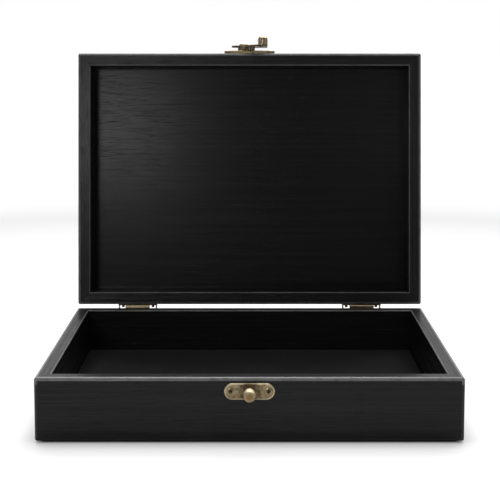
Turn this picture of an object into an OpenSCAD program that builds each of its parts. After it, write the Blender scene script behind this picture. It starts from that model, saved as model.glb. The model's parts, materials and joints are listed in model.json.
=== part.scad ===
// Hinged wooden display case for small pins, with two stop hinges and a swing latch.
// Sizes are in millimetres. The origin is the middle of the underside, X runs along
// the front, Y from the front to the back and Z up. The lid stands open on its hinges.

/* [Box] */
// Width of the case, side to side
box_w = 250; // [200:1:320]
// Depth of the case, front to back
box_d = 183; // [150:1:240]
// Height of the tray, from the table to its rim
base_h = 39; // [32:0.2:60]
// Height of the lid when it lies closed on the tray
lid_h = 32; // [24:1:50]
// Thickness of the mitred rails
rail_t = 9; // [8:0.5:12]
// Radius on the outer edges and corners of the rails
outer_round = 2; // [1:0.25:2.5]
// Radius on the inner edge of each rim
inner_round = 0.8; // [0.4:0.1:1.2]
// Gap between the closed lid and the tray
seam_gap = 0.2; // [0.1:0.05:0.5]

/* [Panels and lining] */
// Thickness of the tray's bottom panel
bottom_t = 4; // [3:0.5:6]
// Thickness of the lid's top panel
top_t = 4; // [3:0.5:6]
// How far the panels reach into the rails
panel_seat = 4; // [2:0.5:5]
// Gap round the edge of each panel
panel_clear = 0.1; // [0.05:0.05:0.3]
// Thickness of the felt glued under the tray
felt_t = 1; // [0.6:0.1:2]
// How far the underside felt is set in from the rails
felt_inset = 2.4; // [2.2:0.1:6]
// Thickness of the pin pad, with its cover
pad_t = 6; // [4:0.5:10]
// Thickness of the pad's cloth cover
cover_t = 1; // [0.6:0.1:1.5]
// Gap round the pin pad
pad_clear = 0.3; // [0.2:0.1:1]
// Radius on the pad's top edge
pad_round = 2; // [1.2:0.2:3]

/* [Hinges] */
// How far the lid swings open
open_angle = 96; // [92:1:105]
// Middle of each hinge from the side of the case
hinge_inset = 43.5; // [30:0.5:70]
// Width of a hinge's leaves
hinge_w = 28; // [26:0.2:34]
// Height of a leaf from the pin to its far edge
leaf_h = 9.6; // [9:0.2:14]
// Thickness of the leaf sheet
leaf_t = 0.8; // [0.6:0.1:1.2]
// Radius on the far corners of a leaf
leaf_round = 1.5; // [0.5:0.25:3]
// Radius of the hinge pin
pin_r = 0.85; // [0.7:0.05:1.2]
// Running gap between the pin and the knuckles
pin_clear = 0.05; // [0.03:0.01:0.1]
// Thickness of the knuckle wall
knuckle_t = 0.75; // [0.5:0.05:1]
// Width of the three knuckles together
barrel_w = 16.8; // [12:0.2:17]
// Width of the middle knuckle, which is the lid's
mid_knuckle_w = 4; // [3:0.1:8]
// Gap between neighbouring knuckles
knuckle_gap = 0.1; // [0.05:0.05:0.3]
// Thickness of the stop wings at the ends of the leaves
wing_t = 1; // [0.6:0.1:1.2]
// Reach of the stop wings from the pin
wing_r = 5.2; // [4.5:0.1:5.6]
// Direction of the fixed stop edge, below level
stop_angle = 40; // [35:1:50]
// Play left between the stops when the lid is open
stop_play = 0.5; // [0.3:0.1:1]
// Hinge screws from the middle of the hinge
hinge_screw_x = 10.8; // [10.2:0.1:11.2]
// Hinge screws from the pin
hinge_screw_y = 4.6; // [4.4:0.1:6]

/* [Strike on the tray] */
// Width of the strike plate
strike_w = 29.5; // [27:0.5:36]
// Height of the strike plate
strike_h = 9.9; // [8.6:0.1:11]
// Middle of the strike plate below the seam
strike_drop = 8; // [7:0.1:8.5]
// Strike screws from the middle of the plate
strike_screw_x = 11; // [9.5:0.1:11]
// Radius of the stud's neck
neck_r = 1.6; // [1.2:0.1:1.9]
// Radius of the stud's head
stud_r = 3.45; // [2.8:0.05:3.8]
// How far the stud stands out from the wood
stud_out = 12.3; // [11:0.1:14]

/* [Latch on the lid] */
// Width of the latch plate
latch_w = 37; // [35:0.5:42]
// Height of the latch plate
latch_h = 11; // [9.5:0.1:12]
// Middle of the latch plate above the seam
latch_rise = 7.8; // [7:0.1:9]
// Latch screws from the middle of the plate
latch_screw_x = 13.4; // [13:0.1:14]
// Lever pivot to the left of the plate's middle
pivot_left = 4.3; // [4:0.1:5]
// Radius of the boss under the lever
boss_r = 4.3; // [3.2:0.1:4.3]
// Height of the lever's underside above the wood
lever_z = 4.8; // [4.4:0.1:5.6]
// Thickness of the lever
lever_t = 1.3; // [1:0.1:1.4]
// Radius of the lever's pivot rivet
rivet_r = 1.6; // [1.2:0.1:1.8]
// Pivot to the thumb knob
knob_x = 14; // [13.6:0.1:16]
// Radius of the thumb knob
knob_r = 3.6; // [3:0.1:3.8]
// Top of the thumb knob above the wood
knob_top = 13.1; // [12:0.1:15]
// Angle from the lever's arm down to its claw
claw_angle = 35; // [33:1:40]
// Width of the claw's jaw round the slot
jaw_w = 2; // [1.5:0.1:2.5]
// Pivot to the peg that steadies the lever on its plate
peg_x = 6.3; // [6.3:0.1:7]
// Radius of the steadying peg
peg_r = 1.9; // [1.2:0.1:1.9]

/* [Fasteners and plates] */
// Thickness of the strike plate on the tray
strike_t = 1.2; // [1:0.1:1.6]
// Thickness of the latch plate on the lid
latch_t = 2.2; // [1.8:0.1:2.6]
// Bevel round both latch plates
plate_bevel = 0.3; // [0.2:0.1:0.6]
// Width of the raised border on both latch plates
plate_border = 0.9; // [0.8:0.1:1.6]
// Depth of the sunk field inside the border
field_depth = 0.25; // [0.1:0.05:0.4]
// Radius of the latch screws' heads
latch_head_r = 2.2; // [1.8:0.1:2.4]
// Radius of the hinge screws' heads
hinge_head_r = 1.1; // [1:0.05:1.3]
// Radius of every screw's shank
shank_r = 0.8; // [0.6:0.05:0.9]
// Depth that the screws reach into the wood
screw_depth = 6; // [4:0.5:6.5]
// Height of the strike screws' nearly flush heads
strike_dome = 0.35; // [0.2:0.05:0.5]
// Height of the latch screws' raised heads
latch_dome = 0.9; // [0.5:0.1:1]
// Height of the hinge screws' round heads
hinge_dome = 1.9; // [0.8:0.1:2]
// Gap round fixed pins, rivets and screws
fit_clear = 0.03; // [0.02:0.01:0.1]
// Gap between sliding and turning pieces
run_clear = 0.2; // [0.15:0.05:0.3]

/* [Hidden] */
$fn = 64;
WOOD = [0.12, 0.12, 0.13];
WOOD_PANEL = [0.09, 0.09, 0.1];
CLOTH = [0.07, 0.07, 0.08];
FOAM = [0.2, 0.2, 0.21];
BRASS = [0.62, 0.52, 0.33];
DARK_BRASS = [0.42, 0.34, 0.2];
SCREW = [0.35, 0.3, 0.22];

over = 1;
tuck = 0.02;
FRONT = 0;
RIGHT = 1;
BACK = 2;
LEFT = 3;

rail_base_h = base_h - felt_t;
lid_z = base_h + seam_gap;
seam_z = base_h + seam_gap / 2;
inner_w = box_w - 2 * rail_t;
inner_d = box_d - 2 * rail_t;
panel_w = inner_w + 2 * panel_seat;
panel_d = inner_d + 2 * panel_seat;
pad_z = felt_t + bottom_t;

bore_r = pin_r + pin_clear;
// the bore stays just clear of the leaf's face, and the knuckle of the wood
bore_lift = 0.05;
knuckle_r = bore_r + knuckle_t;
barrel_z = max(leaf_t + bore_r, knuckle_r) + bore_lift;
hinge_x = box_w / 2 - hinge_inset;
mid_to = mid_knuckle_w / 2;
barrel_to = barrel_w / 2;
end_to = hinge_w / 2;
base_knuckles = [[-barrel_to, -mid_to - knuckle_gap], [mid_to + knuckle_gap, barrel_to]];
lid_knuckles = [[-mid_to, mid_to]];
curl_slit = 0.12;
pin_head_r = 1.25;
pin_head_h = 0.4;
leaf_sink = leaf_t / 2;
plate_sink = 0.9;
tip_r = 0.2;

neck_top = lever_z + lever_t + 2 * run_clear;
shoulder_step = 0.8;
shoulder_r = neck_r + shoulder_step;
shoulder_h = 0.8;
stud_round = 1.6;
knob_round = 2.4;
knob_foot_h = 0.8;
knob_foot_step = 0.1;
spigot_r = 1.2;

pivot = [-pivot_left, latch_rise];
to_stud = [pivot_left, -latch_rise - strike_drop];
claw_r = norm(to_stud);
latched_turn = atan2(to_stud[1], to_stud[0]) + claw_angle;
slot_r = neck_r + run_clear;
claw_end_r = slot_r + jaw_w;
hub_r = 4.4;
tail_x = 6.8;
tail_r = 2;
washer_t = 0.4;
washer_gap = 0.05;
boss_top = lever_z - washer_t - 2 * washer_gap;
rivet_head_r = 3.4;
rivet_head_h = 1.5;
peg_head_r = 2.7;
peg_head_h = 0.9;
peg_hole_share = 0.7;
tip_h = 1.5;
slot_w = 0.6;
recess_depth = 0.6;
recess_share = 0.62;

// Places

// Turns a piece of the closed lid about the hinge pins to where the open lid stands.
module lid_open() {
    translate([0, box_d / 2 + barrel_z, seam_z])
        rotate([-open_angle, 0, 0])
            translate([0, -box_d / 2 - barrel_z, -seam_z]) children();
}

// Local X right, Y up from the seam and Z out of the front face.
module on_front() {
    translate([0, -box_d / 2, seam_z]) rotate([90, 0, 0]) children();
}

// The same on the back face, at one hinge; side is -1 for left and 1 for right.
module at_hinge(side) {
    translate([side * hinge_x, box_d / 2, seam_z]) rotate([90, 0, 180]) children();
}

// Flat shapes

module rounded_rect(w, d, r) {
    square([w - 2 * r, d], center = true);
    square([w, d - 2 * r], center = true);
    for (x = [-1, 1], y = [-1, 1])
        translate([x * (w / 2 - r), y * (d / 2 - r)]) circle(r);
}

// What a rounding of radius r takes off the corner at the origin.
module corner_waste(r) {
    difference() {
        translate([-over, -over]) square(r + over);
        translate([r, r]) circle(r);
    }
}

// Cross-section of a rail: its outer face at x = 0, its rim at y = h.
module rail_profile(h) {
    difference() {
        square([rail_t, h]);
        corner_waste(outer_round);
        translate([0, h]) mirror([0, 1]) corner_waste(outer_round);
        translate([rail_t, h]) rotate(180) corner_waste(inner_round);
    }
}

// A bar with round ends of different size. Its sides run a hair inside the ends' outer
// tangents, so that they cross the round ends.
module tapered_bar(from, r1, to, r2) {
    run = norm(to - from);
    along = atan2(to[1] - from[1], to[0] - from[0]);
    lean = acos((r1 - r2) / run);
    side = [cos(lean), sin(lean)];
    other = [cos(lean), -sin(lean)];
    translate(from) rotate(along) {
        circle(r1);
        translate([run, 0]) circle(r2);
        polygon([
            (r1 - tuck) * side,
            (r1 - tuck) * other,
            [run, 0] + (r2 - tuck) * other,
            [run, 0] + (r2 - tuck) * side,
        ]);
    }
}

// Wooden case

module mitred_rail(side, h) {
    across = side % 2 == 1;
    length = across ? box_d : box_w;
    half = (across ? box_w : box_d) / 2;
    intersection() {
        rotate(90 * side) translate([0, -half, 0])
            rotate([90, 0, 90]) linear_extrude(length + 2 * over, center = true) rail_profile(h);
        rotate(90 * side) translate([0, -half, -over]) linear_extrude(h + 2 * over)
            polygon([
                [-length / 2 - over, -over],
                [length / 2 + over, -over],
                [length / 2 - rail_t - over, rail_t + over],
                [-length / 2 + rail_t + over, rail_t + over],
            ]);
        translate([0, 0, -over]) linear_extrude(h + 2 * over)
            rounded_rect(box_w, box_d, outer_round);
    }
}

module panel_room(t) {
    cube([panel_w, panel_d, 2 * t], center = true);
}

module panel(t) {
    cube([panel_w - 2 * panel_clear, panel_d - 2 * panel_clear, t], center = true);
}

module base_rail(side) {
    color(WOOD) difference() {
        translate([0, 0, felt_t]) mitred_rail(side, rail_base_h);
        translate([0, 0, felt_t]) panel_room(bottom_t);
        if (side == FRONT) strike_screws(true);
        if (side == BACK) for (end = [-1, 1]) hinge_screws(end, -1, true);
    }
}

module lid_rail(side) {
    color(WOOD) difference() {
        translate([0, 0, lid_z + lid_h]) mirror([0, 0, 1]) mitred_rail(side, lid_h);
        translate([0, 0, lid_z + lid_h]) panel_room(top_t);
        if (side == FRONT) latch_screws(true);
        if (side == BACK) for (end = [-1, 1]) hinge_screws(end, 1, true);
    }
}

module bottom_panel() {
    color(WOOD_PANEL) translate([0, 0, felt_t + bottom_t / 2]) panel(bottom_t);
}

module lid_panel() {
    color(WOOD_PANEL) translate([0, 0, lid_z + lid_h - top_t / 2]) panel(top_t);
}

module underside_felt() {
    color(CLOTH) linear_extrude(felt_t)
        rounded_rect(box_w - 2 * felt_inset, box_d - 2 * felt_inset, outer_round + 1);
}

// A slab whose top edges are rounded over on all four sides.
module soft_slab(w, d, t, r) {
    intersection() {
        rotate([90, 0, 0]) linear_extrude(d, center = true) soft_slab_end(w, t, r);
        rotate([90, 0, 90]) linear_extrude(w, center = true) soft_slab_end(d, t, r);
    }
}

module soft_slab_end(w, t, r) {
    difference() {
        translate([-w / 2, 0]) square([w, t]);
        for (x = [0, 1]) mirror([x, 0]) translate([-w / 2, t]) mirror([0, 1]) corner_waste(r);
    }
}

module pad_body(inset, t) {
    translate([0, 0, pad_z])
        soft_slab(inner_w - 2 * (pad_clear + inset), inner_d - 2 * (pad_clear + inset), t,
                  pad_round - inset / 2);
}

module pad_foam() {
    color(FOAM) pad_body(cover_t, pad_t - cover_t);
}

module pad_cover() {
    color(CLOTH) difference() {
        pad_body(0, pad_t);
        pad_body(cover_t, pad_t - cover_t);
    }
}

// Fasteners

// A raised countersunk screw, its plate's face at z = 0 and its shank down -Z. The
// pilot form is the hole that it leaves in the plate and the wood.
module screw(head_r, dome_h, sink, plate, pilot) {
    gap = pilot ? fit_clear : 0;
    dome_r = (head_r * head_r + dome_h * dome_h) / (2 * dome_h);
    deep = plate + screw_depth;
    difference() {
        union() {
            translate([0, 0, -sink])
                cylinder(h = sink, r1 = shank_r + gap, r2 = head_r + gap);
            translate([0, 0, -deep + tip_h])
                cylinder(h = deep - tip_h - sink / 2, r = shank_r + gap);
            translate([0, 0, -deep])
                cylinder(h = tip_h, r1 = tip_r + gap, r2 = shank_r + gap);
            if (pilot) cylinder(h = over, r = head_r + gap);
            else intersection() {
                translate([0, 0, dome_h - dome_r]) sphere(dome_r);
                cylinder(h = dome_h + over, r = head_r);
            }
        }
        if (!pilot) for (turn = [0, 90]) rotate(turn)
            translate([-head_r * recess_share, -slot_w / 2, dome_h - recess_depth])
                cube([2 * head_r * recess_share, slot_w, recess_depth + over]);
    }
}

module strike_screws(pilot = false) {
    color(SCREW) on_front() for (x = [-1, 1])
        translate([x * strike_screw_x, -strike_drop, 0]) strike_screw(pilot);
}

module strike_screw(pilot) {
    translate([0, 0, strike_t - field_depth])
        screw(latch_head_r, strike_dome, plate_sink, strike_t, pilot);
}

module latch_screws(pilot = false) {
    color(SCREW) on_front() for (x = [-1, 1])
        translate([x * latch_screw_x, latch_rise, 0]) latch_screw(pilot);
}

module latch_screw(pilot) {
    translate([0, 0, latch_t - field_depth])
        screw(latch_head_r, latch_dome, plate_sink, latch_t, pilot);
}

// up is 1 for the screws of the lid's leaf and -1 for those of the tray's.
module hinge_screws(side, up, pilot = false) {
    color(SCREW) at_hinge(side) for (x = [-1, 1])
        translate([x * hinge_screw_x, up * hinge_screw_y, 0]) hinge_screw(pilot);
}

module hinge_screw(pilot) {
    translate([0, 0, leaf_t]) screw(hinge_head_r, hinge_dome, leaf_sink, leaf_t, pilot);
}

// Hinges, drawn with X along the pin, Y up from it and Z out of the wood

module along_pin(span, r) {
    translate([span[0], 0, barrel_z]) rotate([0, 90, 0]) cylinder(h = span[1] - span[0], r = r);
}

module leaf_plate() {
    linear_extrude(leaf_t) {
        translate([0, -leaf_h / 2]) rounded_rect(hinge_w, leaf_h, leaf_round);
        translate([-hinge_w / 2, -leaf_h / 2]) square([hinge_w, leaf_h / 2]);
    }
}

// A stop wing below the pin, up to a radial edge at the given angle, which is counted
// from straight out of the wood down towards the leaf.
module stop_wing(angle) {
    intersection() {
        translate([0, 0, barrel_z]) rotate([0, 90, 0]) cylinder(h = wing_t, r = wing_r);
        translate([-over, -leaf_h, 0]) cube([wing_t + 2 * over, leaf_h, leaf_h]);
        translate([0, 0, barrel_z]) rotate([angle, 0, 0])
            translate([-over, -2 * leaf_h, -leaf_h])
                cube([wing_t + 2 * over, 2 * leaf_h, 2 * leaf_h]);
    }
}

// Room round the pin that a leaf leaves for what turns there.
module knuckle_room(span) {
    reach = knuckle_r + run_clear;
    translate([span[0] - knuckle_gap, -reach, -over])
        cube([span[1] - span[0] + 2 * knuckle_gap, 2 * reach, barrel_z + reach + over]);
}

// The slit where the rolled sheet comes back to its leaf.
module curl_slits(knuckles) {
    for (span = knuckles)
        translate([span[0] - over / 20, -knuckle_r - over, leaf_t])
            cube([span[1] - span[0] + over / 10, knuckle_r, curl_slit]);
}

// What both leaves share: the room for the other's knuckles and at the barrel's ends,
// the stop wings, the bore, the rolled edge's slits and the screw holes.
module leaf(own_knuckles, other_knuckles, stop) {
    difference() {
        union() {
            difference() {
                leaf_plate();
                for (span = other_knuckles) knuckle_room(span);
                knuckle_room([barrel_to, end_to]);
                knuckle_room([-end_to, -barrel_to]);
            }
            for (span = own_knuckles) along_pin(span, knuckle_r);
            for (x = [0, 1]) mirror([x, 0, 0]) translate([end_to - wing_t, 0, 0]) difference() {
                stop_wing(stop);
                along_pin([-over, wing_t + over], knuckle_r + run_clear);
            }
        }
        along_pin([-hinge_w, hinge_w], bore_r);
        curl_slits(own_knuckles);
        for (x = [-1, 1]) translate([x * hinge_screw_x, -hinge_screw_y, 0]) hinge_screw(true);
    }
}

module base_leaf() {
    leaf(base_knuckles, lid_knuckles, stop_angle);
}

module lid_leaf() {
    mirror([0, 1, 0]) leaf(lid_knuckles, base_knuckles, open_angle - stop_angle + stop_play);
}

module hinge_base_leaf(side) {
    color(BRASS) at_hinge(side) base_leaf();
}

module hinge_lid_leaf(side) {
    color(DARK_BRASS) at_hinge(side) lid_leaf();
}

module hinge_pin(side) {
    color(DARK_BRASS) at_hinge(side) {
        along_pin([-barrel_to, barrel_to], pin_r);
        for (x = [0, 1]) mirror([x, 0, 0])
            along_pin([barrel_to, barrel_to + pin_head_h], pin_head_r);
    }
}

// Latch, drawn with X right, Y up from the seam and Z out of the wood

// A round-ended plate with a bevelled edge.
module bevelled_plate(w, h, t) {
    span = w - h;
    body_t = t - plate_bevel;
    linear_extrude(body_t) {
        square([span, h], center = true);
        for (x = [-1, 1]) translate([x * span / 2, 0]) circle(h / 2);
    }
    for (x = [-1, 1]) translate([x * span / 2, 0, body_t])
        cylinder(h = plate_bevel, r1 = h / 2, r2 = h / 2 - plate_bevel);
    translate([0, 0, body_t]) rotate([90, 0, 90]) linear_extrude(span, center = true)
        polygon([[-h / 2, 0], [h / 2, 0], [h / 2 - plate_bevel, plate_bevel],
                 [-h / 2 + plate_bevel, plate_bevel]]);
}

// The sunk field inside the plate's raised border.
module plate_field(w, h, t) {
    span = w - h;
    translate([0, 0, t - field_depth]) linear_extrude(over) {
        square([span, h - 2 * plate_border], center = true);
        for (x = [-1, 1]) translate([x * span / 2, 0]) circle(h / 2 - plate_border);
    }
}

// A turned head with a rounded nose, from z = 0 to h.
module turned_head(r, h, nose) {
    rotate_extrude() intersection() {
        difference() {
            translate([-r, 0]) square([2 * r, h]);
            translate([r, h]) rotate(180) corner_waste(nose);
        }
        square([r, h]);
    }
}

module strike_plate() {
    color(BRASS) on_front() translate([0, -strike_drop, 0]) difference() {
        bevelled_plate(strike_w, strike_h, strike_t);
        plate_field(strike_w, strike_h, strike_t);
        translate([0, 0, -over]) cylinder(h = strike_t + 2 * over, r = neck_r + fit_clear);
        for (x = [-1, 1]) translate([x * strike_screw_x, 0, 0]) strike_screw(true);
    }
}

module strike_stud() {
    color(BRASS) on_front() translate([0, -strike_drop, 0]) {
        cylinder(h = neck_top, r = neck_r);
        translate([0, 0, strike_t - field_depth]) cylinder(h = shoulder_h, r = shoulder_r);
        translate([0, 0, neck_top]) turned_head(stud_r, stud_out - neck_top, stud_round);
    }
}

module latch_plate() {
    color(BRASS) on_front() translate([0, latch_rise, 0]) difference() {
        union() {
            difference() {
                bevelled_plate(latch_w, latch_h, latch_t);
                plate_field(latch_w, latch_h, latch_t);
            }
            translate([-pivot_left, 0, latch_t / 2])
                cylinder(h = boss_top - latch_t / 2, r = boss_r);
        }
        translate([-pivot_left, 0, -over]) cylinder(h = boss_top + 2 * over, r = rivet_r + fit_clear);
        for (x = [-1, 1]) translate([x * latch_screw_x, 0, 0]) latch_screw(true);
    }
}

module at_pivot() {
    on_front() translate([pivot[0], pivot[1], 0]) children();
}

module latch_washer() {
    color(DARK_BRASS) at_pivot() translate([0, 0, boss_top + washer_gap]) difference() {
        cylinder(h = washer_t, r = boss_r - 0.4);
        translate([0, 0, -over]) cylinder(h = washer_t + 2 * over, r = rivet_r + fit_clear);
    }
}

module latch_rivet() {
    head_z = lever_z + lever_t + washer_gap;
    color(BRASS) at_pivot() {
        cylinder(h = head_z + rivet_head_h / 2, r = rivet_r);
        translate([0, 0, head_z]) turned_head(rivet_head_r, rivet_head_h, rivet_head_h * 0.9);
    }
}

// The seat round the stud's neck and the curved way in, which is a little narrower.
module claw_slot() {
    way_r = slot_r - run_clear / 4;
    translate([claw_r, 0]) circle(slot_r);
    difference() {
        intersection() {
            circle(claw_r + way_r);
            translate([0, -2 * claw_end_r]) square([2 * claw_r, 2 * claw_end_r]);
        }
        circle(claw_r - way_r);
    }
}

module lever_outline() {
    difference() {
        union() {
            tapered_bar([0, 0], hub_r, [knob_x, 0], knob_r - 0.2);
            tapered_bar([0, 0], hub_r - 0.8, [-tail_x, 0], tail_r);
            rotate(-claw_angle) tapered_bar([0, 0], hub_r - 0.6, [claw_r, 0], claw_end_r);
        }
        rotate(-claw_angle) claw_slot();
        circle(rivet_r + pin_clear);
        translate([knob_x, 0]) circle(spigot_r + fit_clear);
        translate([peg_x, 0]) circle(peg_r * peg_hole_share + fit_clear);
    }
}

module latch_lever() {
    color(BRASS) at_pivot() translate([0, 0, lever_z]) linear_extrude(lever_t) lever_outline();
}

module latch_knob() {
    top = lever_z + lever_t;
    color(BRASS) at_pivot() translate([knob_x, 0, 0]) {
        translate([0, 0, lever_z]) cylinder(h = lever_t + knob_foot_h / 2, r = spigot_r);
        translate([0, 0, top]) cylinder(h = knob_foot_h, r = knob_r + knob_foot_step);
        translate([0, 0, top + knob_foot_h / 2])
            turned_head(knob_r, knob_top - top - knob_foot_h / 2, knob_round);
    }
}

module latch_peg() {
    top = lever_z + lever_t;
    color(DARK_BRASS) at_pivot() translate([peg_x, 0, 0]) {
        translate([0, 0, latch_t + run_clear])
            cylinder(h = lever_z - latch_t - run_clear, r = peg_r);
        translate([0, 0, lever_z - over / 2])
            cylinder(h = lever_t + over, r = peg_r * peg_hole_share);
        translate([0, 0, top]) turned_head(peg_head_r, peg_head_h, peg_head_h * 0.9);
    }
}

base_rail(FRONT);  // base_front_rail
base_rail(BACK);  // base_back_rail
base_rail(LEFT);  // base_left_rail
base_rail(RIGHT);  // base_right_rail
bottom_panel();
underside_felt();
pad_foam();
pad_cover();
lid_open() lid_rail(FRONT);  // lid_front_rail
lid_open() lid_rail(BACK);  // lid_back_rail
lid_open() lid_rail(LEFT);  // lid_left_rail
lid_open() lid_rail(RIGHT);  // lid_right_rail
lid_open() lid_panel();
hinge_base_leaf(-1);  // left_hinge_base_leaf
hinge_base_leaf(1);  // right_hinge_base_leaf
lid_open() hinge_lid_leaf(-1);  // left_hinge_lid_leaf
lid_open() hinge_lid_leaf(1);  // right_hinge_lid_leaf
hinge_pin(-1);  // left_hinge_pin
hinge_pin(1);  // right_hinge_pin
hinge_screws(-1, -1);  // left_hinge_base_screws
hinge_screws(1, -1);  // right_hinge_base_screws
lid_open() hinge_screws(-1, 1);  // left_hinge_lid_screws
lid_open() hinge_screws(1, 1);  // right_hinge_lid_screws
strike_plate();
strike_stud();
strike_screws();
lid_open() latch_plate();
lid_open() latch_screws();
lid_open() latch_rivet();
lid_open() latch_washer();
lid_open() latch_lever();
lid_open() latch_knob();
lid_open() latch_peg();
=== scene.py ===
"""Looks for the hinged display case: stained wood, a soft pad and antiqued brass."""
import json
import math

import bpy
from mathutils import Euler, Matrix, Vector, noise


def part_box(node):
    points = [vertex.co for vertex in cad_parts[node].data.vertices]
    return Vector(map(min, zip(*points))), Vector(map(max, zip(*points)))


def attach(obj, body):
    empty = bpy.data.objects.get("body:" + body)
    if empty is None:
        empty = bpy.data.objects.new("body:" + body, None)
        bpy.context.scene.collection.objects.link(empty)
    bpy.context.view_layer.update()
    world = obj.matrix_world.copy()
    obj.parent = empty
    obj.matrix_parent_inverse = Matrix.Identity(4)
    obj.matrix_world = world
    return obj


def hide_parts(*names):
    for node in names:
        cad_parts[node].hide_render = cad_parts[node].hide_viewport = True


MM = 0.001

# The photograph's camera. Its optical axis crosses the picture above the middle.
IMAGE_PX = 500
FOCAL_PX = 1225
AXIS_FROM_TOP_PX = 160.6
SENSOR_W = 36
CAMERA_PLACE = Vector((0.3, -783.1, 236.6)) * MM
CAMERA_PITCH = math.radians(5.89)

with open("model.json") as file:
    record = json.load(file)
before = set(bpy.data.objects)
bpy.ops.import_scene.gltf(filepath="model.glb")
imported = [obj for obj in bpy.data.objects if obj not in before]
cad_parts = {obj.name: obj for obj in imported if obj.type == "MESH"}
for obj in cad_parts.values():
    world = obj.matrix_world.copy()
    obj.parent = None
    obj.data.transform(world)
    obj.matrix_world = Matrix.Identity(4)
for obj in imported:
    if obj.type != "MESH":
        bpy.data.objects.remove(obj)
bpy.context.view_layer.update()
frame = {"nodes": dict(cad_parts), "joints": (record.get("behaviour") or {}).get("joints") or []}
nodes = frame["nodes"]
lid_joint = next(j for j in frame["joints"] if j["name"] == "lid_hinge")
latch_joint = next(j for j in frame["joints"] if j["name"] == "latch_swing")
hinge = Vector(lid_joint["pos_m"])
open_angle = math.radians(lid_joint["range_deg"][1])
seam_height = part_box("base_front_rail")[1][2]


# Node helpers


def link(tree, value, socket):
    """Joins a socket to an input, or sets the input to a plain value."""
    if isinstance(value, bpy.types.NodeSocket):
        tree.links.new(value, socket)
    else:
        socket.default_value = value


def add(tree, kind, inputs=(), **settings):
    """Adds a node; inputs is a list of (socket name or number, value)."""
    made = tree.nodes.new("ShaderNode" + kind)
    for key, value in settings.items():
        setattr(made, key, value)
    for key, value in inputs:
        link(tree, value, made.inputs[key])
    return made


def calc(tree, operation, a, b=0.0, clamp=False):
    made = add(tree, "Math", [(0, a), (1, b)], operation=operation, use_clamp=clamp)
    return made.outputs[0]


def times(tree, a, b):
    return calc(tree, "MULTIPLY", a, b)


def plus(tree, a, b):
    return calc(tree, "ADD", a, b)


def minus(tree, a, b):
    return calc(tree, "SUBTRACT", a, b)


def greater(tree, a, b):
    return calc(tree, "MAXIMUM", a, b)


def absolute(tree, a):
    return calc(tree, "ABSOLUTE", a)


def hypotenuse(tree, a, b):
    return calc(tree, "SQRT", plus(tree, times(tree, a, a), times(tree, b, b)))


def ramp(tree, value, low, high, to_low=0.0, to_high=1.0):
    """value from low..high to to_low..to_high, smoothly and clamped."""
    made = add(tree, "MapRange", [("Value", value), ("From Min", low), ("From Max", high),
                                  ("To Min", to_low), ("To Max", to_high)],
               interpolation_type="SMOOTHSTEP")
    return made.outputs[0]


def mix(tree, factor, a, b):
    made = add(tree, "Mix", [(0, factor), (6, a), (7, b)], data_type="RGBA")
    return made.outputs[2]


def xyz(tree, vector):
    return add(tree, "SeparateXYZ", [(0, vector)]).outputs


def noise_at(tree, place, scale, detail=4.0, rough=0.55, distort=0.0):
    made = add(tree, "TexNoise", [("Vector", place), ("Scale", scale), ("Detail", detail),
                                  ("Roughness", rough), ("Distortion", distort)])
    return made.outputs[0]


def bump(tree, height, distance, strength, under=None):
    inputs = [("Height", height), ("Distance", distance), ("Strength", strength)]
    if under is not None:
        inputs.append(("Normal", under))
    return add(tree, "Bump", inputs).outputs[0]


def rgb(r, g, b):
    return (r, g, b, 1.0)


def new_material(name, **constants):
    """A material with one shader, its constants set on the shader's own sockets."""
    made = bpy.data.materials.new(name)
    made.use_nodes = True
    tree = made.node_tree
    tree.nodes.clear()
    shader = tree.nodes.new("ShaderNodeBsdfPrincipled")
    out = tree.nodes.new("ShaderNodeOutputMaterial")
    tree.links.new(shader.outputs[0], out.inputs[0])
    for key, value in constants.items():
        shader.inputs[key.replace("_", " ")].default_value = value
    return made, tree, shader


def closed_place(tree, on_lid=False):
    """Where a point lies while the case is closed, with the origin under its middle."""
    place = add(tree, "TexCoord").outputs["Object"]
    if not on_lid:
        return place
    turn = Matrix.Rotation(open_angle, 3, "X")
    made = add(tree, "Mapping", [("Vector", place), ("Location", hinge - turn @ hinge),
                                 ("Rotation", Euler((open_angle, 0, 0)))], vector_type="POINT")
    return made.outputs[0]


# The normal's largest part: a place above the first counts as flat, one below the second
# as the middle of a rounded edge.
ON_FACE = 0.9995
ON_EDGE = 0.985


def arris(tree, on_lid):
    """0 on flat faces, 1 in the middle of a rounded edge."""
    normal = add(tree, "TexCoord").outputs["Normal"]
    if on_lid:
        normal = add(tree, "Mapping", [("Vector", normal),
                                       ("Rotation", Euler((open_angle, 0, 0)))],
                     vector_type="VECTOR").outputs[0]
    sizes = [absolute(tree, part) for part in xyz(tree, normal)]
    largest = greater(tree, greater(tree, sizes[0], sizes[1]), sizes[2])
    return ramp(tree, largest, ON_FACE, ON_EDGE)


# Wood

# How strong the painted highlight on the rounded edges is, on the outer edges and on those along
# the seam.
TRAY_EDGE_HIGHLIGHT = (0.12, 1.0)
LID_EDGE_HIGHLIGHT = (0.2, 0.6)
# The painted highlight on the seam's edges fades out over these distances from it.
SEAM_HIGHLIGHT_FULL = 3 * MM
SEAM_HIGHLIGHT_END = 5 * MM
# How much the grain stands up, and how much the stain is lightened, which paints light onto the
# piece: the rails more than the panels, the lid's rails most.
TRAY_GRAIN_AND_LIGHT = (0.5, 2.0)
LID_GRAIN_AND_LIGHT = (0.9, 2.4)
PANEL_GRAIN_AND_LIGHT = (0.17, 1.0)
# The weight of the lacquer.
RAIL_COAT = 0.32
PANEL_COAT = 0.26
# How high the grain's bumps are.
GRAIN_HEIGHT = 0.09 * MM
# Places are shrunk by these along the grain, which draws the noise out into lines.
FIBRE_SHRINK = 0.028
STREAK_SHRINK = 0.009
# How far from a mitre joint its line begins and where it is full, and how deep it looks.
JOINT_HALF = 0.22 * MM
JOINT_CORE = 0.06 * MM
JOINT_DEPTH = 0.12 * MM
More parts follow.
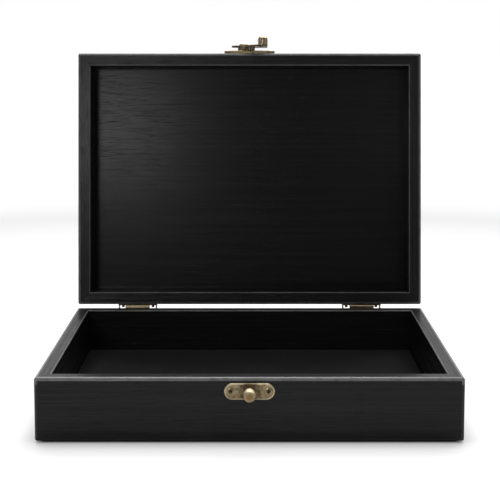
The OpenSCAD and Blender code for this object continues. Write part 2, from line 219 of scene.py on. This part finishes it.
# The colour of the painted highlight on the rounded edges, and the colours of the pores and of
# the joints' lines.
EDGE_HIGHLIGHT_TONE = rgb(0.2, 0.2, 0.2)
PORE_TONE = rgb(0.0008, 0.0008, 0.0008)
JOINT_TONE = rgb(0.002, 0.002, 0.002)


def wood(name, along, on_lid, grain_and_light, coat, mitre=None):
    """Black-stained wood under a satin lacquer; along is the grain's axis, 0 to 2. The fourth
    argument is (how much the grain stands up, how much the stain is lightened to paint light
    onto the piece) and coat the lacquer's weight. With mitre, the case's half width and
    depth, the joints at its corners show as fine lines.
    A painted highlight, broken up by noise, lies on the rounded edges, stronger on those along
    the seam than on the outer ones."""
    relief, light_gain = grain_and_light

    # The stain's colours are scaled up here to paint in light: more on the rails than on the
    # panels.
    def stained_and_lit(r, g, b):
        return rgb(r * light_gain, g * light_gain, b * light_gain)

    made, tree, shader = new_material(name, Coat_Weight=coat, Coat_Roughness=0.2, IOR=1.5,
                                      Specular_IOR_Level=0.1)
    place = closed_place(tree, on_lid)
    scale = [1.0, 1.0, 1.0]
    scale[along] = FIBRE_SHRINK
    drawn = add(tree, "Mapping", [("Vector", place), ("Scale", scale)]).outputs[0]
    scale[along] = STREAK_SHRINK
    long_drawn = add(tree, "Mapping", [("Vector", place), ("Scale", scale)]).outputs[0]
    fibre = noise_at(tree, drawn, 1500, 5, 0.62)
    streak = noise_at(tree, long_drawn, 620, 3, 0.6)
    pores = ramp(tree, noise_at(tree, drawn, 2600, 2, 0.5), 0.6, 0.72)
    figure = noise_at(tree, drawn, 190, 3, 0.5, 0.6)

    x, y, z = xyz(tree, place)
    from_seam = absolute(tree, minus(tree, z, seam_height))
    outer, edge_strength = LID_EDGE_HIGHLIGHT if on_lid else TRAY_EDGE_HIGHLIGHT
    # Painted highlight on the rounded edges: a pale tone, broken up by noise, strongest along
    # the seam.
    edge_highlight = times(tree, arris(tree, on_lid),
                 ramp(tree, noise_at(tree, place, 160, 4), 0.3, 0.6, 0.7))
    edge_highlight = times(tree, edge_highlight,
                 ramp(tree, from_seam, SEAM_HIGHLIGHT_END, SEAM_HIGHLIGHT_FULL, outer, edge_strength))

    stain = mix(tree, ramp(tree, fibre, 0.35, 0.7),
                stained_and_lit(0.002, 0.002, 0.0022), stained_and_lit(0.006, 0.0058, 0.006))
    stain = mix(tree, ramp(tree, streak, 0.42, 0.66, 0.0, 0.5), stain,
                stained_and_lit(0.0095, 0.009, 0.009))
    stain = mix(tree, times(tree, figure, 0.35), stain, stained_and_lit(0.004, 0.0036, 0.0034))
    stain = mix(tree, times(tree, pores, 0.7), stain, PORE_TONE)
    # The rounded edges are lightened here with a painted highlight.
    stain = mix(tree, edge_highlight, stain, EDGE_HIGHLIGHT_TONE)
    rough = plus(tree, ramp(tree, streak, 0.35, 0.7, 0.5, 0.36), times(tree, pores, 0.15))
    raised = plus(tree, minus(tree, fibre, pores), times(tree, streak, 0.8))
    normal = bump(tree, raised, GRAIN_HEIGHT, relief)
    if mitre:
        from_side = minus(tree, mitre[0], absolute(tree, x))
        from_front = minus(tree, mitre[1], absolute(tree, y))
        away = absolute(tree, minus(tree, from_side, from_front))
        joint = ramp(tree, away, JOINT_HALF, JOINT_CORE)
        stain = mix(tree, times(tree, joint, 0.85), stain, JOINT_TONE)
        normal = bump(tree, minus(tree, 1.0, joint), JOINT_DEPTH, 0.8, normal)
    link(tree, stain, shader.inputs["Base Color"])
    link(tree, rough, shader.inputs["Roughness"])
    link(tree, normal, shader.inputs["Normal"])
    link(tree, normal, shader.inputs["Coat Normal"])
    return made


# Soft materials


def velvet(name):
    made, tree, shader = new_material(name, Roughness=0.95, Specular_IOR_Level=0.15,
                                      Sheen_Weight=0.12, Sheen_Roughness=0.4)
    shader.inputs["Sheen Tint"].default_value = rgb(0.5, 0.5, 0.53)
    place = closed_place(tree)
    pile = noise_at(tree, place, 2600, 3, 0.7)
    brushed = noise_at(tree, place, 45, 5, 0.6, 0.8)
    lint = ramp(tree, noise_at(tree, place, 900, 2), 0.73, 0.78)
    colour = mix(tree, ramp(tree, pile, 0.35, 0.7),
                 rgb(0.0035, 0.0035, 0.004), rgb(0.0105, 0.0106, 0.0115))
    colour = mix(tree, ramp(tree, brushed, 0.4, 0.65, 0.0, 0.45), colour,
                 rgb(0.011, 0.011, 0.012))
    colour = mix(tree, times(tree, lint, 0.25), colour, rgb(0.05, 0.05, 0.052))
    link(tree, colour, shader.inputs["Base Color"])
    normal = bump(tree, brushed, 1.2 * MM, 0.25, bump(tree, pile, 0.3 * MM, 0.9))
    link(tree, normal, shader.inputs["Normal"])
    return made


def felt(name):
    made, tree, shader = new_material(name, Roughness=1.0, Specular_IOR_Level=0.1,
                                      Sheen_Weight=0.25, Sheen_Roughness=0.6)
    place = closed_place(tree)
    fibres = noise_at(tree, place, 1800, 6, 0.75, 2.0)
    clumps = noise_at(tree, place, 240, 3)
    colour = mix(tree, ramp(tree, fibres, 0.35, 0.65),
                 rgb(0.004, 0.004, 0.0045), rgb(0.02, 0.02, 0.021))
    colour = mix(tree, times(tree, clumps, 0.3), colour, rgb(0.012, 0.012, 0.013))
    link(tree, colour, shader.inputs["Base Color"])
    link(tree, bump(tree, fibres, 0.4 * MM, 0.9), shader.inputs["Normal"])
    return made


def foam(name):
    made, tree, shader = new_material(name, Roughness=0.95, Specular_IOR_Level=0.2)
    place = closed_place(tree)
    cells = add(tree, "TexVoronoi", [("Vector", place), ("Scale", 1400)]).outputs["Distance"]
    colour = mix(tree, cells, rgb(0.03, 0.03, 0.032), rgb(0.09, 0.09, 0.095))
    link(tree, colour, shader.inputs["Base Color"])
    link(tree, bump(tree, cells, 0.4 * MM, 0.8), shader.inputs["Normal"])
    return made


# Brass

IVORY = rgb(0.8, 0.7, 0.5)
BRIGHT = rgb(0.62, 0.5, 0.3)
DULL = rgb(0.42, 0.32, 0.17)
OLD_BRASS = rgb(0.3, 0.23, 0.13)
BROWNED = rgb(0.13, 0.095, 0.055)
GOLDEN = rgb(0.3, 0.19, 0.07)
GREYED = rgb(0.3, 0.25, 0.17)
PATINA = rgb(0.07, 0.052, 0.034)
FIELD = rgb(0.17, 0.108, 0.048)
# A near-black brown used for painted shade.
SHADE_TONE = rgb(0.02, 0.015, 0.01)

# The roughness of most brass, of the stud's dull head and of the hinges.
SATIN = 0.2
MATT = 0.42
POLISHED = 0.06


def round_mask(tree, place, middle, radius):
    """1 near a point of the case's front plane and its mirror image, 0 outside radius."""
    parts = xyz(tree, place)
    aside = minus(tree, absolute(tree, parts[0]), middle[0])
    up = minus(tree, parts[2], middle[1])
    return ramp(tree, hypotenuse(tree, aside, up), radius, radius * 0.6)


def plate_rim(tree, place, plate):
    """1 on the raised border of a round-ended plate, 0 on the field inside it."""
    middle, width, height, border = plate
    parts = xyz(tree, place)
    straight = (width - height) / 2
    aside = greater(tree, minus(tree, absolute(tree, parts[0]), straight), 0.0)
    out = hypotenuse(tree, aside, minus(tree, parts[2], middle))
    return ramp(tree, out, height / 2 - border * 1.1, height / 2 - border * 0.75)


def brass(name, bright, dull, on_lid=False, patina=PATINA, tarnish=0.5, plate=None,
          spots=(), spot_colour=SHADE_TONE, roughness=SATIN):
    """Antiqued brass. tarnish is how far the patina has spread. plate is a round-ended
    plate's (middle height, width, height, border): its sunk field keeps the patina.
    spots are (half spacing, height, radius, strength) of round places in spot_colour, which
    paints shade onto them."""
    made, tree, shader = new_material(name, Metallic=1.0)
    place = closed_place(tree, on_lid)
    blotch = noise_at(tree, place, 420, 5, 0.6, 0.4)
    cloud = noise_at(tree, place, 150, 3, 0.5, 0.8)
    fine = noise_at(tree, place, 3200, 3, 0.6)
    covered = ramp(tree, blotch, 0.68 - 0.4 * tarnish, 0.85 - 0.4 * tarnish)
    edge_strength = arris(tree, on_lid)
    if plate:
        rim = plate_rim(tree, place, plate)
        edge_strength = greater(tree, edge_strength, times(tree, rim, 0.8))
        field = ramp(tree, blotch, 0.38, 0.62, 0.4, 0.9)
        covered = greater(tree, covered, times(tree, field, minus(tree, 1.0, rim)))
    covered = calc(tree, "SUBTRACT", covered, times(tree, edge_strength, 0.75), clamp=True)

    metal = mix(tree, ramp(tree, fine, 0.3, 0.7), bright, dull)
    metal = mix(tree, ramp(tree, cloud, 0.4, 0.62, 0.0, 0.6), metal, GREYED)
    colour = mix(tree, covered, metal, patina)
    for half, height, radius, strength in spots:
        spot = round_mask(tree, place, (half, height), radius)
        colour = mix(tree, times(tree, spot, strength), colour, spot_colour)
    link(tree, colour, shader.inputs["Base Color"])
    rough = plus(tree, times(tree, covered, roughness * 1.1),
                 ramp(tree, fine, 0.3, 0.7, roughness, roughness * 1.7))
    link(tree, rough, shader.inputs["Roughness"])
    dents = min(1.0, roughness / SATIN)
    normal = bump(tree, blotch, 0.1 * MM, 0.3 * dents,
                  bump(tree, fine, 0.04 * MM, 0.5 * dents))
    link(tree, normal, shader.inputs["Normal"])
    return made


# Dressing the CAD nodes


def dress(name, material):
    """Gives one CAD node its material."""
    slots = nodes[name].data.materials
    slots.clear()
    slots.append(material)


def span(name, axis):
    low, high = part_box(name)
    return high[axis] - low[axis]


def dress_wood():
    mitre = (span("base_front_rail", 0) / 2, span("base_left_rail", 1) / 2)
    for part, on_lid, grain_and_light in (("base", False, TRAY_GRAIN_AND_LIGHT), ("lid", True, LID_GRAIN_AND_LIGHT)):
        across = wood(f"{part}_wood_across", 0, on_lid, grain_and_light, RAIL_COAT, mitre)
        deep = wood(f"{part}_wood_deep", 1, on_lid, grain_and_light, RAIL_COAT, mitre)
        for side, material in (("front", across), ("back", across),
                               ("left", deep), ("right", deep)):
            dress(f"{part}_{side}_rail", material)
    dress("lid_panel", wood("panel_wood", 0, True, PANEL_GRAIN_AND_LIGHT, PANEL_COAT))
    dress("bottom_panel", wood("bottom_wood", 0, False, PANEL_GRAIN_AND_LIGHT, PANEL_COAT))


# The border of both plates, the radii of screw heads, and the radii of the painted shade in the
# screws' recesses.
PLATE_BORDER = 0.9 * MM
HEAD_R = 2.2 * MM
STRIKE_RECESS_SHADE_R = 1.6 * MM
LATCH_RECESS_SHADE_R = 1.3 * MM
# The painted shade in the middle of the stud's face, which is golden and darker than its rim,
# and the painted shade on the plate round the stud.
STUD_FACE_SHADE_R = 2.6 * MM
STUD_SHADE_R = 8 * MM


def when_closed(point):
    """Where a point of the open lid lies while the case is closed."""
    return Matrix.Rotation(open_angle, 3, "X") @ (Vector(point) - hinge) + hinge


def screw_from_middle(node):
    """How far each of a node's two screws lies from the case's middle, left or right."""
    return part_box(node)[1][0] - HEAD_R


def dress_strike():
    low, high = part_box("strike_plate")
    middle = (low[2] + high[2]) / 2
    plate = (middle, high[0] - low[0], high[2] - low[2], PLATE_BORDER)
    # Painted shade: a dark round spot in each screw's recess.
    recess_shades = [(screw_from_middle("strike_screws"), middle, STRIKE_RECESS_SHADE_R, 0.75)]
    # Painted shade on the plate round the stud, darkest next to it.
    stud_shade = [(0.0, middle, STUD_SHADE_R, 0.45)]
    # Painted shade: the middle of the stud's face is made golden and darker than its rounded
    # rim.
    face_shade = [(0.0, middle, STUD_FACE_SHADE_R, 0.9)]
    dress("strike_plate", brass("strike_brass", IVORY, DULL, patina=FIELD, plate=plate,
                                spots=recess_shades + stud_shade))
    dress("strike_stud", brass("stud_brass", IVORY, BRIGHT, tarnish=0.2, spots=face_shade,
                               spot_colour=GOLDEN, roughness=MATT))
    dress("strike_screws", brass("screw_brass", OLD_BRASS, DULL, tarnish=0.55,
                                 spots=recess_shades))


def dress_latch():
    low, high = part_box("latch_plate")
    middle = when_closed(latch_joint["pos_m"]).z
    plate = (middle, high[0] - low[0], high[1] - low[1], PLATE_BORDER)
    # Painted shade: a dark round spot in each screw's recess.
    recess_shades = [(screw_from_middle("latch_screws"), middle, LATCH_RECESS_SHADE_R, 0.8)]
    lever = brass("lever_brass", OLD_BRASS, BROWNED, True)
    for name in ("latch_washer", "latch_lever", "latch_peg"):
        dress(name, lever)
    dress("latch_plate", brass("latch_brass", DULL, BROWNED, True, tarnish=0.55, plate=plate))
    dress("latch_screws", brass("screw_brass_on_lid", IVORY, BRIGHT, True, tarnish=0.3,
                                spots=recess_shades))
    dress("latch_knob", brass("knob_brass", IVORY, DULL, True, tarnish=0.35))
    dress("latch_rivet", brass("rivet_brass", IVORY, BRIGHT, True, tarnish=0.35))


def dress_hinges():
    on_tray = brass("dark_brass", OLD_BRASS, BROWNED, tarnish=0.4, roughness=POLISHED)
    on_lid = brass("dark_brass_on_lid", OLD_BRASS, BROWNED, True, tarnish=0.4,
                   roughness=POLISHED)
    for side in ("left", "right"):
        for piece in ("base_leaf", "pin", "base_screws"):
            dress(f"{side}_hinge_{piece}", on_tray)
        for piece in ("lid_leaf", "lid_screws"):
            dress(f"{side}_hinge_{piece}", on_lid)


# Soft pieces

# Of the pad's cover and of its foam: how round the top edges are, how far the middle
# stands up, how high the ripples are, and the cells across and deep.
COVER_FORM = (1.8 * MM, 0.35 * MM, 0.12 * MM, (110, 80))
FOAM_FORM = (1.2 * MM, 0.1 * MM, 0.05 * MM, (40, 30))
# How far the foam's top lies below its CAD box.
FOAM_SINK = 0.4 * MM
# How close the ripples lie, and how much the points crowd towards the edges.
RIPPLES_PER_M = 18
EDGE_CROWDING = 1.6

# The felt's corner radius and the steps round it, the distance between the points of its
# edge, and how far and how often that edge strays.
FELT_CORNER = 3 * MM
FELT_CORNER_STEPS = 8
FELT_STEP = 6 * MM
FELT_STRAY = 0.35 * MM
FELT_STRAYS_PER_M = 60
# The felt's cut edge from below: (share of the thickness, how far it is drawn in).
FELT_EDGE = ((0.0, 0.25 * MM), (0.2, 0.0), (0.8, 0.0), (1.0, 0.2 * MM))


def mesh_piece(name, points, faces, material, body, smooth=True):
    mesh = bpy.data.meshes.new(name)
    mesh.from_pydata(points, [], faces)
    mesh.materials.append(material)
    mesh.polygons.foreach_set("use_smooth", [smooth] * len(mesh.polygons))
    mesh.update()
    made = bpy.data.objects.new(name, mesh)
    bpy.context.scene.collection.objects.link(made)
    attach(made, body)
    return made


def soft_slab(name, low, high, form, material):
    """A slab with rounded top edges, a slightly crowned top and a flat underside, inside
    the box from low to high."""
    round_r, crown, ripple, (across, deep) = form
    half = ((high[0] - low[0]) / 2, (high[1] - low[1]) / 2)
    middle = ((high[0] + low[0]) / 2, (high[1] + low[1]) / 2)
    top = high[2]
    points = []
    faces = []

    def spread(i, n, size):
        """Places that crowd towards the two ends, where the rounding is."""
        t = 2 * i / n - 1
        return size * math.copysign(1 - (1 - abs(t)) ** EDGE_CROWDING, t)

    def drop(from_edge):
        """How far the rounding lowers the top at this distance from an edge."""
        if from_edge >= round_r:
            return 0.0
        return round_r - math.sqrt(max(round_r ** 2 - (round_r - from_edge) ** 2, 0.0))

    for j in range(deep + 1):
        for i in range(across + 1):
            x = spread(i, across, half[0])
            y = spread(j, deep, half[1])
            fall = max(drop(half[0] - abs(x)), drop(half[1] - abs(y)))
            rise = crown * (1 - (x / half[0]) ** 4) * (1 - (y / half[1]) ** 4)
            wave = ripple * noise.noise(Vector((x * RIPPLES_PER_M, y * RIPPLES_PER_M, 3.0)))
            z = top - crown - ripple - fall + rise + wave
            points.append((middle[0] + x, middle[1] + y, min(z, top)))
    row = across + 1
    for j in range(deep):
        for i in range(across):
            a = j * row + i
            faces.append((a, a + 1, a + 1 + row, a + row))
    rim = list(range(across + 1))
    rim += [j * row + across for j in range(1, deep + 1)]
    rim += [deep * row + i for i in range(across - 1, -1, -1)]
    rim += [j * row for j in range(deep - 1, 0, -1)]
    first = len(points)
    points += [(points[k][0], points[k][1], low[2]) for k in rim]
    for k in range(len(rim)):
        n = (k + 1) % len(rim)
        faces.append((rim[n], rim[k], first + k, first + n))
    faces.append(tuple(first + k for k in range(len(rim) - 1, -1, -1)))
    return mesh_piece(name, points, faces, material, "tray")


def make_pad():
    low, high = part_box("pad_cover")
    pad = soft_slab("pad", low, high, COVER_FORM, velvet("velvet"))
    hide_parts("pad_cover")
    low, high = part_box("pad_foam")
    core = soft_slab("pad_core", low, high - Vector((0, 0, FOAM_SINK)), FOAM_FORM, foam("foam"))
    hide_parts("pad_foam")


def cut_outline(half_w, half_d):
    """A rounded rectangle that runs a hair in and out, as cut cloth does."""
    outline = []
    for k, (sx, sy) in enumerate(((1, 1), (-1, 1), (-1, -1), (1, -1))):
        for i in range(FELT_CORNER_STEPS + 1):
            turn = math.radians(90 * (k + i / FELT_CORNER_STEPS))
            outline.append((sx * (half_w - FELT_CORNER) + FELT_CORNER * math.cos(turn),
                            sy * (half_d - FELT_CORNER) + FELT_CORNER * math.sin(turn)))
    filled = []
    for k, (x, y) in enumerate(outline):
        nx, ny = outline[(k + 1) % len(outline)]
        count = max(1, round(math.hypot(nx - x, ny - y) / FELT_STEP))
        filled += [(x + (nx - x) * i / count, y + (ny - y) * i / count) for i in range(count)]
    strayed = []
    for x, y in filled:
        wander = noise.noise(Vector((x * FELT_STRAYS_PER_M, y * FELT_STRAYS_PER_M, 7.0)))
        pull = 1 - FELT_STRAY * (0.5 + 0.5 * wander) / half_d
        strayed.append((x * pull, y * pull))
    return strayed


def make_felt():
    """The felt glued under the tray: a thin sheet with soft cut edges."""
    low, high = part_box("underside_felt")
    half_w = (high[0] - low[0]) / 2
    half_d = (high[1] - low[1]) / 2
    thick = high[2] - low[2]
    outline = cut_outline(half_w, half_d)
    count = len(outline)
    points = []
    faces = []
    for share, inset in FELT_EDGE:
        pull = 1 - inset / half_d
        points += [(x * pull, y * pull, low[2] + share * thick) for x, y in outline]
    for ring in range(len(FELT_EDGE) - 1):
        for k in range(count):
            n = (k + 1) % count
            a = ring * count
            faces.append((a + k, a + n, a + count + n, a + count + k))
    faces.append(tuple(reversed(range(count))))
    top = (len(FELT_EDGE) - 1) * count
    faces.append(tuple(range(top, top + count)))
    sheet = mesh_piece("base_felt", points, faces, felt("felt"), "tray", smooth=False)
    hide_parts("underside_felt")


# Studio

# Strengths of the world: the room behind the camera, the bright backdrop, the ceiling
# and the side walls, which are brighter in front of the case than beside it.
DIM_ROOM = 0.04
BACKDROP = 0.75
CEILING = 0.2
SIDE_WALLS = 0.45
WALLS_BESIDE = 0.3

# Half the floor's width and depth.
FLOOR_HALF = 12.0
# The floor glows into the backdrop between these distances from the case.
GLOW_FROM = 0.3
GLOW_FULL = 1.1
# The camera sees a darker floor with a lift of its own, which fades in the nook under
# the case's edges, so that the shadow stays short.
FLOOR_TONES = (rgb(0.6, 0.6, 0.6), rgb(0.63, 0.63, 0.63))
FLOOR_SEEN = rgb(0.3, 0.3, 0.3)
FLOOR_LIFT = 0.72
NOOK_REACH = 14 * MM

# Name, place, what it aims at, width, height and watts.
LIGHTS = (
    ("overhead", (0, 0, 1.7), (0, 0, 0.1), 2.0, 1.6, 12),
    ("rim_strip", (0.12, 0.8, 1.45), (0, -0.08, 0.04), 1.8, 0.6, 30),
    ("softbox", (-0.37, -1.83, 0.44), (-0.08, 0.1, 0.18), 0.3, 0.28, 2.4),
    ("card", (0.42, -1.83, 0.46), (0.08, 0.1, 0.18), 0.34, 0.28, 0.3),
)


def make_floor():
    """A pale floor that shows shadows near the case and glows into the backdrop far off."""
    made, tree, shader = new_material("floor", Roughness=0.7, Specular_IOR_Level=0.2,
                                      Emission_Color=rgb(1, 1, 1))
    place = add(tree, "TexCoord").outputs["Object"]
    far = add(tree, "VectorMath", [(0, place)], operation="LENGTH").outputs["Value"]
    seen = add(tree, "LightPath").outputs["Is Camera Ray"]
    nook = add(tree, "AmbientOcclusion", [("Distance", NOOK_REACH)]).outputs["AO"]
    tone = mix(tree, noise_at(tree, place, 3, 2), *FLOOR_TONES)
    tone = mix(tree, seen, tone, FLOOR_SEEN)
    glow = times(tree, ramp(tree, far, GLOW_FROM, GLOW_FULL), seen)
    link(tree, mix(tree, glow, tone, rgb(0, 0, 0)), shader.inputs["Base Color"])
    lift = times(tree, times(tree, seen, nook), FLOOR_LIFT)
    link(tree, greater(tree, glow, lift), shader.inputs["Emission Strength"])
    mesh = bpy.data.meshes.new("floor")
    corners = ((-1, -1), (1, -1), (1, 1), (-1, 1))
    points = [(x * FLOOR_HALF, y * FLOOR_HALF, 0) for x, y in corners]
    mesh.from_pydata(points, [], [(0, 1, 2, 3)])
    mesh.materials.append(made)
    floor = bpy.data.objects.new("floor", mesh)
    bpy.context.scene.collection.objects.link(floor)


def make_world():
    """A bright backdrop and ceiling, lit side walls and a dim room behind the camera."""
    world = bpy.data.worlds.new("studio")
    bpy.context.scene.world = world
    world.use_nodes = True
    tree = world.node_tree
    x, y, z = xyz(tree, add(tree, "TexCoord").outputs["Generated"])
    backdrop = ramp(tree, y, 0.1, 0.7, 0.0, BACKDROP)
    ceiling = ramp(tree, z, 0.7, 1.0, 0.0, CEILING)
    sides = ramp(tree, absolute(tree, x), 0.5, 0.75, 0.0, SIDE_WALLS)
    sides = times(tree, sides, ramp(tree, y, -0.1, -0.3, WALLS_BESIDE, 1.0))
    lit = greater(tree, greater(tree, backdrop, ceiling), greater(tree, sides, DIM_ROOM))
    seen = add(tree, "LightPath").outputs["Is Camera Ray"]
    background = tree.nodes["Background"]
    background.inputs["Color"].default_value = rgb(1, 1, 1)
    link(tree, greater(tree, lit, seen), background.inputs["Strength"])


def area_light(name, place, aim, width, height, watts):
    data = bpy.data.lights.new(name, "AREA")
    data.shape = "RECTANGLE"
    data.size = width
    data.size_y = height
    data.energy = watts
    light = bpy.data.objects.new(name, data)
    light.location = place
    light.rotation_euler = (Vector(aim) - Vector(place)).to_track_quat("-Z", "Y").to_euler()
    bpy.context.scene.collection.objects.link(light)


def make_camera():
    data = bpy.data.cameras.new("camera")
    data.sensor_width = SENSOR_W
    data.lens = SENSOR_W * FOCAL_PX / IMAGE_PX
    data.shift_y = -(IMAGE_PX / 2 - AXIS_FROM_TOP_PX) / IMAGE_PX
    camera = bpy.data.objects.new("camera", data)
    camera.location = CAMERA_PLACE
    camera.rotation_euler = (math.pi / 2 - CAMERA_PITCH, 0, 0)
    bpy.context.scene.collection.objects.link(camera)
    bpy.context.scene.camera = camera


bpy.context.scene.view_settings.view_transform = "Standard"
make_camera()
make_floor()
make_world()
for light in LIGHTS:
    area_light(*light)
dress_wood()
dress_strike()
dress_latch()
dress_hinges()
make_felt()
make_pad()
